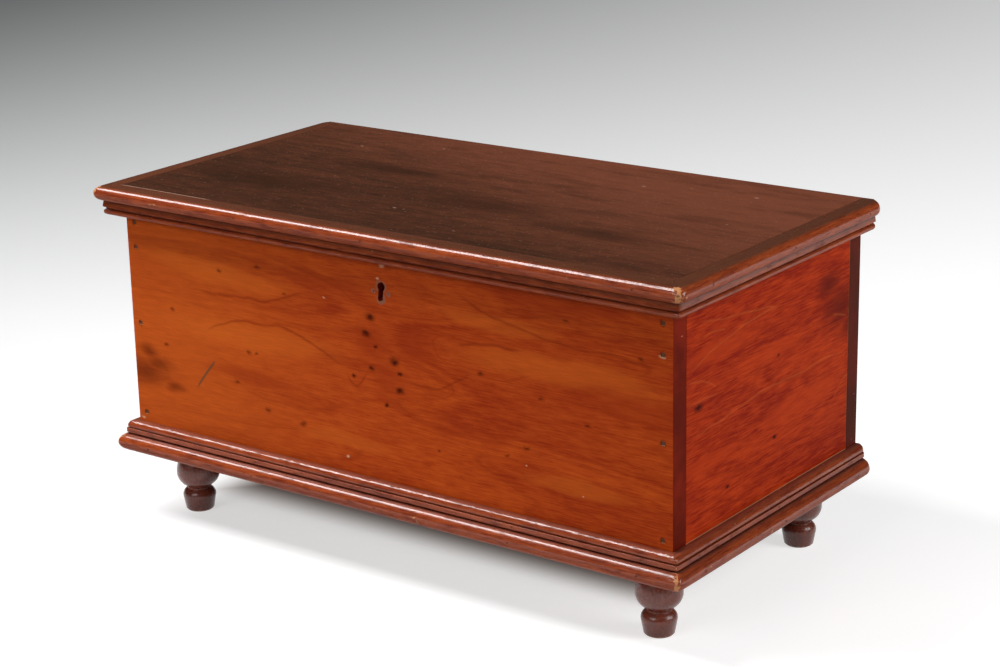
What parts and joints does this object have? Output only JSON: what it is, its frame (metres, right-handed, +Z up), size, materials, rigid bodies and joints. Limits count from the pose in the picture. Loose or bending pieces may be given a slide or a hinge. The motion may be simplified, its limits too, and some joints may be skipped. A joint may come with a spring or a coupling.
{
  "type": "blanket chest",
  "caption": "Small wooden blanket chest with a moulded, hinged lid, an inset box lock, a moulded base and turned ball feet.",
  "frame": {"origin": "the middle of the whole chest's footprint, on the floor under the feet", "axes": "+X along the chest's length to the right as seen from the front, -Y towards the front with the keyhole, +Z up"},
  "size_m": [0.622, 0.3262, 0.3135],
  "materials": {
    "case_wood": "old glossy varnish on poplar or pine, stained orange-brown",
    "moulding_wood": "old glossy varnish, stained red-brown, worn bare at the corners",
    "lid_wood": "darkened old varnish, satin",
    "foot_wood": "dark maroon-brown stain and varnish",
    "hinge_iron": "dark, aged iron",
    "lock_iron": "dull, aged iron",
    "screw_iron": "dull, aged iron",
    "nail_iron": "rusted dark iron"
  },
  "bodies": {
    "case": {"front_board": "case_wood", "back_board": "case_wood", "left_end_board": "case_wood", "right_end_board": "case_wood", "bottom_board": "case_wood", "base_moulding_front": "moulding_wood", "base_moulding_left": "moulding_wood", "base_moulding_right": "moulding_wood", "base_nosing_front": "moulding_wood", "base_nosing_left": "moulding_wood", "base_nosing_right": "moulding_wood", "foot_front_left": "foot_wood", "foot_front_right": "foot_wood", "foot_back_left": "foot_wood", "foot_back_right": "foot_wood", "hinge_left_case_leaf": "hinge_iron", "hinge_left_pin": "hinge_iron", "hinge_right_case_leaf": "hinge_iron", "hinge_right_pin": "hinge_iron", "lock_plate": "lock_iron", "lock_case": "lock_iron", "lock_key_pin": "lock_iron", "lock_bolt_studs": "lock_iron", "lock_bolt_spring": "lock_iron", "hinge_case_screws": "screw_iron", "lock_screws": "screw_iron", "front_nails": "nail_iron", "back_nails": "nail_iron", "bottom_nails": "nail_iron", "base_moulding_brads": "nail_iron", "base_nosing_brads": "nail_iron"},
    "lid": {"lid_board": "lid_wood", "lid_nosing_front": "moulding_wood", "lid_nosing_left": "moulding_wood", "lid_nosing_right": "moulding_wood", "lid_lip_front": "moulding_wood", "lid_lip_left": "moulding_wood", "lid_lip_right": "moulding_wood", "lid_nosing_brads": "nail_iron", "lid_lip_brads": "nail_iron", "hinge_left_lid_leaf": "hinge_iron", "hinge_right_lid_leaf": "hinge_iron", "hinge_lid_screws": "screw_iron", "link_plate": "lock_iron", "link_screws": "screw_iron"},
    "lock_bolt": {"lock_bolt": "lock_iron"}
  },
  "joints": [
    {"name": "lid_hinge", "type": "hinge", "parent": "case", "child": "lid", "pos_m": [0, 0.16037, 0.3004], "axis": [-1, 0, 0], "range_deg": [0, 190]},
    {"name": "bolt_slide", "type": "slide", "parent": "case", "child": "lock_bolt", "axis": [1, 0, 0], "range_m": [0, 0.0065]}
  ]
}
